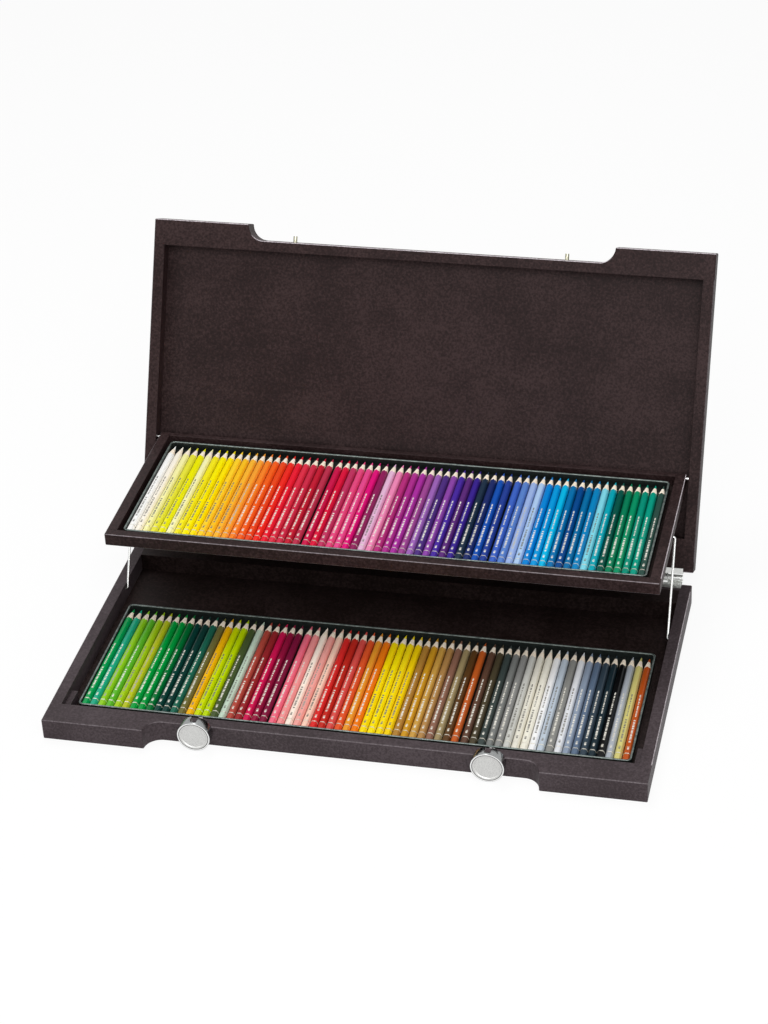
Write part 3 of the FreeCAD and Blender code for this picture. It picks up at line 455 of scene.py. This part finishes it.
for tier, body in (("lower", "base"), ("upper", "tray")):
    low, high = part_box(tier + "_tin")
    middle = (low + high) / 2
    half_x = (high.x - low.x) / 2 - rim_reach
    half_y = (high.y - low.y) / 2 - rim_reach
    tall = high.z - low.z
    bpy.ops.mesh.primitive_plane_add(size=2, location=(0, 0, 0))
    tin = bpy.context.object
    tin.name = tier + "_pressed_tin"
    tin.scale = (half_x, half_y, 1)
    bpy.ops.object.transform_apply(scale=True)
    edit(tin)
    bpy.ops.mesh.select_all(action="SELECT")
    bpy.ops.mesh.bevel(offset=inner_corner + sheet, segments=8, affect="VERTICES")
    bpy.ops.mesh.extrude_region_move(TRANSFORM_OT_translate={"value": (0, 0, tall - rim_height)})
    bpy.ops.mesh.inset(thickness=rim_reach, use_outset=True)
    choose(tin, lambda centre, normal: normal.z > 0.9 and centre.z > tall - rim_height - near)
    bpy.ops.mesh.extrude_region_move(TRANSFORM_OT_translate={"value": (0, 0, rim_height)})
    bpy.ops.mesh.inset(thickness=rim_reach + sheet)
    bpy.ops.mesh.extrude_region_move(TRANSFORM_OT_translate={"value": (0, 0, sheet - tall)})
    choose(tin, lambda centre, way: centre.z > tall - near and abs(way.z) < 0.1, "EDGE")
    bpy.ops.mesh.bevel(offset=rim_rounding, segments=3, affect="EDGES")
    bpy.ops.mesh.select_all(action="SELECT")
    bpy.ops.mesh.normals_make_consistent(inside=False)
    done(tin)
    placed(tin, Matrix.Translation((middle.x, middle.y, low.z)))
    for coat in (enamel, worn_highlit_rim):
        tin.data.materials.append(coat)
    # The top 0.7 mm of each tin takes the lighter rim: worn metal and a painted highlight
    for face in tin.data.polygons:
        face.material_index = int(face.center.z > high.z - highlit_rim_depth)
    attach(tin, body)
    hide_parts(tier + "_tin")

# Pencils: cedar slats glued round a pigment core, milled to six sides, dipped in gloss lacquer
# of the core's colour, ringed and ticked with foil, and sharpened by machine, which leaves the
# paint in scallops round a pale wooden cone.
pencil_length, flats, pitch, corner_rounding = 175 * mm, 7.35 * mm, 8.55 * mm, 0.8 * mm
cone_length, core_radius, tip_radius = 23 * mm, 1.7 * mm, 0.35 * mm
ring_start, ring_width, marked_length = 9.2 * mm, 1.2 * mm, 110 * mm
half_side = math.radians(30)
corner_radius = flats / 2 / math.cos(half_side)

# Dipped lacquer: strong even colour under a gloss, with a row of foil ticks on the upper flat.
lacquer = new_material("coloured_gloss_lacquer")
pigment = node(lacquer, "ShaderNodeAttribute", {"attribute_name": "pigment"})
place = node(lacquer, "ShaderNodeTexCoord")
# Dip marks 1 mm wide and 25 mm long
streaks = node(lacquer, "ShaderNodeMapping", {"Scale": (900, 40, 900)},
               {"Vector": (place, "Object")})
uneven = node(lacquer, "ShaderNodeTexNoise", {"Scale": 1, "Detail": 2},
              {"Vector": (streaks, "Vector")})
ripple = node(lacquer, "ShaderNodeBump", {"Strength": 0.1, "Distance": 0.1 * mm},
              {"Height": (uneven, "Fac")})
# The marks are up to 2 mm wide and about 2 mm apart, in three stretches of the marked length,
# the last of them a little narrower. The map holds millimetres.
chart = node(lacquer, "ShaderNodeUVMap", {"uv_map": "stamp"})
way = node(lacquer, "ShaderNodeSeparateXYZ", links={"Vector": (chart, "UV")})
aside = node(lacquer, "ShaderNodeMath", {"operation": "ABSOLUTE"}, {0: (way, "X")})
share = node(lacquer, "ShaderNodeMath", {"operation": "DIVIDE", 1: marked_length / mm},
             {0: (way, "Y")})
reach = node(lacquer, "ShaderNodeValToRGB", {"stops": (
    (0.14, "#000000"), (0.145, "#FFFFFF"), (0.185, "#FFFFFF"), (0.19, "#000000"),
    (0.235, "#000000"), (0.24, "#FFFFFF"), (0.585, "#FFFFFF"), (0.59, "#000000"),
    (0.625, "#000000"), (0.63, "#D8D8D8"), (0.96, "#D8D8D8"), (0.965, "#000000"))}, {"Fac": (share, 0)})
narrow = node(lacquer, "ShaderNodeMath", {"operation": "LESS_THAN"},
              {0: (aside, 0), 1: (reach, "Color")})
spacing = node(lacquer, "ShaderNodeTexNoise", {"noise_dimensions": "1D", "Scale": 0.55, "Detail": 1},
               {"W": (way, "Y")})
tick = node(lacquer, "ShaderNodeMath", {"operation": "GREATER_THAN", 1: 0.47},
            {0: (spacing, "Fac")})
stamp = node(lacquer, "ShaderNodeMath", {"operation": "MULTIPLY"}, {0: (narrow, 0), 1: (tick, 0)})
silvered = node(lacquer, "ShaderNodeValToRGB", {"stops": ((0.3, "#CFCBBE"), (0.7, "#F1EEE4"))},
                {"Fac": (uneven, "Fac")})
# Foil shows silver on a dark pencil, and as a grey shadow on a pale one
dulled = node(lacquer, "ShaderNodeValToRGB", {"stops": ((0.3, "#6A6862"), (0.7, "#8C8A84"))},
              {"Fac": (uneven, "Fac")})
paleness = node(lacquer, "ShaderNodeRGBToBW", links={"Color": (pigment, "Color")})
pale = node(lacquer, "ShaderNodeMapRange", {"From Min": 0.4, "From Max": 0.5},
            {"Value": (paleness, "Val")})
print_tone = node(lacquer, "ShaderNodeMix", {"data_type": "RGBA"},
                  {0: (pale, 0), 6: (silvered, "Color"), 7: (dulled, "Color")})
shade = node(lacquer, "ShaderNodeMix", {"data_type": "RGBA"},
             {0: (stamp, 0), 6: (pigment, "Color"), 7: (print_tone, 2)})
finish = node(lacquer, "ShaderNodeBsdfPrincipled", {"Roughness": 0.28, "Specular IOR Level": 0.2},
              {"Base Color": (shade, 2), "Normal": (ripple, "Normal")})
node(lacquer, "ShaderNodeOutputMaterial", links={"Surface": (finish, "BSDF")})

# Sharpened cedar: pale pinkish buff, matt, with fibres along the cone.
cedar = new_material("sharpened_cedar")
place = node(cedar, "ShaderNodeTexCoord")
# Fibres 0.7 mm wide and 6 mm long
slats = node(cedar, "ShaderNodeMapping", {"Scale": (1500, 160, 1500)},
             {"Vector": (place, "Object")})
fibres = node(cedar, "ShaderNodeTexNoise", {"Scale": 1, "Detail": 3}, {"Vector": (slats, "Vector")})
shade = node(cedar, "ShaderNodeValToRGB", {"stops": ((0.3, "#F5E0C2"), (0.7, "#FFF8EC"))},
             {"Fac": (fibres, "Fac")})
finish = node(cedar, "ShaderNodeBsdfPrincipled", {"Roughness": 0.75, "Specular IOR Level": 0.3},
              {"Base Color": (shade, "Color")})
node(cedar, "ShaderNodeOutputMaterial", links={"Surface": (finish, "BSDF")})

# Pressed pigment: the pencil's colour again, waxy and slightly rough.
core = new_material("pressed_pigment_core")
pigment = node(core, "ShaderNodeAttribute", {"attribute_name": "pigment"})
place = node(core, "ShaderNodeTexCoord")
# Grains of 0.4 mm
grains = node(core, "ShaderNodeTexNoise", {"Scale": 2500, "Detail": 2},
              {"Vector": (place, "Object")})
chalky = node(core, "ShaderNodeBump", {"Strength": 0.3, "Distance": 0.05 * mm},
              {"Height": (grains, "Fac")})
finish = node(core, "ShaderNodeBsdfPrincipled", {"Roughness": 0.6, "Specular IOR Level": 0.3},
              {"Base Color": (pigment, "Color"), "Normal": (chalky, "Normal")})
node(core, "ShaderNodeOutputMaterial", links={"Surface": (finish, "BSDF")})

# Hot-stamped foil: a bright, slightly warm silver line round the pencil, worn in specks of 0.8 mm.
foil = new_material("hot_stamped_foil")
place = node(foil, "ShaderNodeTexCoord")
worn = node(foil, "ShaderNodeTexNoise", {"Scale": 1200, "Detail": 2}, {"Vector": (place, "Object")})
shade = node(foil, "ShaderNodeValToRGB", {"stops": ((0.3, "#DAD4C2"), (0.7, "#F6F2E6"))},
             {"Fac": (worn, "Fac")})
finish = node(foil, "ShaderNodeBsdfPrincipled", {"Metallic": 0.7, "Roughness": 0.3},
              {"Base Color": (shade, "Color")})
node(foil, "ShaderNodeOutputMaterial", links={"Surface": (finish, "BSDF")})

# One pencil lies along Y with its blunt end at the origin, and a cone cuts its point
bpy.ops.mesh.primitive_cylinder_add(vertices=6, radius=corner_radius, depth=pencil_length,
                                    location=(0, pencil_length / 2, flats / 2),
                                    rotation=(-quarter, half_side, 0))
pencil = bpy.context.object
bpy.ops.object.transform_apply(location=True, rotation=True)
edit(pencil)
choose(pencil, lambda middle, way: abs(way.y) > 0.9, "EDGE")
bpy.ops.mesh.bevel(offset=corner_rounding, segments=2, affect="EDGES")
for ring_edge in (ring_start, ring_start + ring_width):
    bpy.ops.mesh.select_all(action="SELECT")
    bpy.ops.mesh.bisect(plane_co=(0, ring_edge, 0), plane_no=(0, 1, 0))
done(pencil)
slope, sharpener_length, sharpener_tail = cone_length / corner_radius, 60 * mm, 150 * mm
bpy.ops.mesh.primitive_cone_add(vertices=18, radius1=sharpener_length / slope, radius2=0,
                                depth=sharpener_length,
                                location=(0, pencil_length - sharpener_length / 2, flats / 2),
                                rotation=(-quarter, 0, 0))
sharpener = bpy.context.object
bpy.ops.object.transform_apply(location=True, rotation=True)
edit(sharpener)
choose(sharpener, lambda middle, normal: normal.y < -0.9)
bpy.ops.mesh.extrude_region_move(TRANSFORM_OT_translate={"value": (0, -sharpener_tail, 0)})
done(sharpener)
pencil.data.materials.append(lacquer)
sharpener.data.materials.append(cedar)
sharpened = pencil.modifiers.new("sharpened", "BOOLEAN")
sharpened.operation = "INTERSECT"
sharpened.solver = "EXACT"
sharpened.material_mode = "TRANSFER"
sharpened.object = sharpener
pick(pencil)
bpy.ops.object.modifier_apply(modifier="sharpened")
bpy.data.objects.remove(sharpener)
core_start, tip_end = pencil_length - core_radius * slope, pencil_length - tip_radius * slope
edit(pencil)
bpy.ops.mesh.select_all(action="SELECT")
bpy.ops.mesh.bisect(plane_co=(0, core_start, 0), plane_no=(0, 1, 0))
bpy.ops.mesh.select_all(action="SELECT")
bpy.ops.mesh.bisect(plane_co=(0, tip_end, 0), plane_no=(0, 1, 0), clear_outer=True, use_fill=True)
done(pencil, smooth=25)
# The boolean has brought lacquer and cedar along, so core and foil are the third and the fourth
for material in (core, foil):
    pencil.data.materials.append(material)
for face in pencil.data.polygons:
    if face.center.y > core_start:
        face.material_index = 2
    elif ring_start < face.center.y < ring_start + ring_width:
        face.material_index = 3
# The map of the marks is off them, at 50 mm, on all but the upper flat
stamp_map, off_marks = pencil.data.uv_layers.new(name="stamp"), 50
for face in pencil.data.polygons:
    upper_flat = face.normal.z > 0.9
    for corner in face.loop_indices:
        spot = pencil.data.vertices[pencil.data.loops[corner].vertex_index].co
        stamp_map.data[corner].uv = (spot.x / mm if upper_flat else off_marks, spot.y / mm)

# The pencils' colours from left to right, one line of codes for each stretch of like hues
upper_row = (
    # white, lemon and yellow
    "#F4F4F2 #F8F0E0 #F4EFA8 #E6E23E #EBE800 #F6F2B4 #F2E61E #F8EA00 #FBE300 #FBD02A #F8C020 "
    # orange to red
    "#F7B432 #F5A032 #F58228 #F2601E #E8481E #EC2C22 #E81E34 #DC3048 #CC2C48 #C01C34 #B8304C",
    # rose to magenta
    "#C8164A #D8143C #BE3460 #E2487E #E4488C #DE1078 #8E1E5A #E2B4D4 #EC86B4 #B42E7A #AC2E8C #A82E9C "
    # violet to deep blue
    "#9C4690 #9A62B4 #4C2E7C #8A44A4 #46289A #5A2A76 #38228C #1E3044 #1E2C66 #1450AE #243E92",
    # blue to turquoise
    "#3C62C0 #5880C8 #9AB2E2 #AAC8EC #0082D2 #0096D8 #00B4E2 #006EAA #00468A #006AA0 #0080BC #7ED4E4 "
    # blue greens
    "#00A2B2 #005044 #007A54 #008C60 #008C74 #00967E #2C4A42",
)
lower_row = (
    # greens
    "#00984E #1EA682 #8CC81E #5CB428 #A0C818 #B4BE1E #009A3C #00963C #006E32 #0A3C34 #123A34 #1E6450 "
    # olive, ochre, sage and wine red
    "#6E6A38 #F0B40A #C8D800 #B8D400 #46562E #BED2BE #B0483C #96282C #CC1650 #92143C #7E163C",
    # flesh tints, vermilion and yellow
    "#F06E86 #F09494 #FCEBDC #F0A49C #F8CDB8 #DA2C2A #C02A20 #D8504A #E0562A #E8982C #EE7A14 #F8DC0A "
    # yellow and earth colours
    "#F8E20A #F6DC14 #F6D20A #B08036 #CC9622 #C89A46 #B0844C #8C6452 #9C8A62 #5A3C1E #C05A22",
    # umber, greys and whites
    "#5E4234 #4A4230 #3C4644 #7A7C7A #8C8C8A #C8C8C2 #E6E2D4 #EFEBDC #F4F4F4 #BCC8D4 #8A8A86 #E2E4E8 "
    # blue greys, black and the metallic ones
    "#8C9AAE #5C6E86 #34424E #1C2C34 #0C0C0E #A8AEB6 #D2C87A #B8501A",
)
for tier, row, body in (("upper", upper_row, "tray"), ("lower", lower_row, "base")):
    for number, pigments in enumerate(row, start=1):
        group_node = "%s_pencils_%d" % (tier, number)
        low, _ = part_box(group_node)
        copies = []
        for place, code in enumerate(pigments.split()):
            x = low.x + corner_radius + place * pitch
            one = copied(pencil, group_node + "_one", Matrix.Translation((x, low.y, low.z)))
            paint = one.data.color_attributes.new("pigment", "BYTE_COLOR", "CORNER")
            for corner in paint.data:
                corner.color = colour(code)
            copies.append(one)
        group = joined(copies, group_node + "_sharpened")
        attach(group, body)
        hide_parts(group_node)
bpy.data.objects.remove(pencil)

# The setting: a wide sheet of white paper in an evenly lit white room, under four soft lamps.
# One hangs overhead, the strongest stands high in front, and two weaker ones stand at the left
# and, low down, at the right.
sheet_width, shadow_left, room_light = 12, 0.09, 0.28


def seen(owner):
    """One where the camera looks, directly, in a mirroring surface or through a clear one."""
    ray = node(owner, "ShaderNodeLightPath")
    mirrored = node(owner, "ShaderNodeMath", {"operation": "MAXIMUM"},
                    {0: (ray, "Is Glossy Ray"), 1: (ray, "Is Transmission Ray")})
    return node(owner, "ShaderNodeMath", {"operation": "MAXIMUM"},
                {0: (ray, "Is Camera Ray"), 1: (mirrored, 0)})


# White paper: matt, with a faint fibre. Where it is seen it is lit up to white, and about a
# tenth of the shadow on it stays.
paper = new_material("white_paper_sweep")
place = node(paper, "ShaderNodeTexCoord")
# Fibres 1.7 mm wide
fibre = node(paper, "ShaderNodeTexNoise", {"Scale": 600, "Detail": 2}, {"Vector": (place, "Object")})
shade = node(paper, "ShaderNodeValToRGB", {"stops": ((0.3, "#F4F4F4"), (0.7, "#FAFAFA"))},
             {"Fac": (fibre, "Fac")})
matt = node(paper, "ShaderNodeBsdfPrincipled", {"Roughness": 0.9, "Specular IOR Level": 0},
            {"Base Color": (shade, "Color")})
glow = node(paper, "ShaderNodeEmission", {"Strength": 1.0})
lit_up = node(paper, "ShaderNodeMath", {"operation": "MULTIPLY", 1: 1 - shadow_left},
              {0: (seen(paper), 0)})
both = node(paper, "ShaderNodeMixShader",
            links={0: (lit_up, 0), 1: (matt, "BSDF"), 2: (glow, "Emission")})
node(paper, "ShaderNodeOutputMaterial", links={"Surface": (both, "Shader")})
bpy.ops.mesh.primitive_grid_add(x_subdivisions=4, y_subdivisions=4, size=sheet_width,
                                location=(0, 0, 0))
floor = bpy.context.object
floor.name = "floor"
floor.data.materials.append(paper)

# Where the room is seen it is white, and its light on the case is softer
room = bpy.data.worlds.new("soft_room")
bpy.context.scene.world = room
room.use_nodes = True
room.node_tree.nodes.clear()
strength = node(room, "ShaderNodeMapRange", {"To Min": room_light, "To Max": 1.0},
                {"Value": (seen(room), 0)})
air = node(room, "ShaderNodeBackground", {"Color": (1, 1, 1, 1)}, {"Strength": (strength, 0)})
node(room, "ShaderNodeOutputWorld", links={"Surface": (air, "Background")})

# Each lamp's place and width in metres, and its power in watts
aim = Vector((0, 0.1, 0.1))
for name, place, size, power in (
    ("top_lamp", (-0.5, 0.7, 2.4), 1.1, 25),
    ("key_lamp", (0.5, -1.5, 2.1), 1.1, 34),
    ("left_lamp", (-2.2, -1.6, 1.4), 1.2, 9),
    ("front_lamp", (1.8, -2.2, 0.9), 1.2, 14),
):
    bpy.ops.object.light_add(type="AREA", location=place)
    lamp = bpy.context.object
    lamp.name = name
    lamp.data.size = size
    lamp.data.energy = power
    lamp.rotation_euler = (aim - Vector(place)).to_track_quat("-Z", "Y").to_euler()

# The camera: a long lens three metres off, above the case and to its right, and held slightly
# out of level, as the photograph was taken
azimuth, elevation, roll = math.radians(14.383), math.radians(32.986), math.radians(-3.046)
target, distance = Vector((-58.19 * mm, 294.25 * mm, 0)), 3009.2 * mm
back = Vector((math.sin(azimuth) * math.cos(elevation), -math.cos(azimuth) * math.cos(elevation),
               math.sin(elevation)))
right = (-back).cross(Vector((0, 0, 1))).normalized()
up = right.cross(-back)
tilted_right = right * math.cos(roll) + up * math.sin(roll)
tilted_up = up * math.cos(roll) - right * math.sin(roll)
bpy.ops.object.camera_add()
camera = bpy.context.object
camera.matrix_world = Matrix.Translation(target + back * distance) @ Matrix(
    (tilted_right, tilted_up, back)).transposed().to_4x4()
camera.data.lens = 92.96
camera.data.sensor_width = 36
camera.data.clip_start, camera.data.clip_end = 0.1, 60
bpy.context.scene.camera = camera
bpy.context.scene.view_settings.view_transform = "Standard"
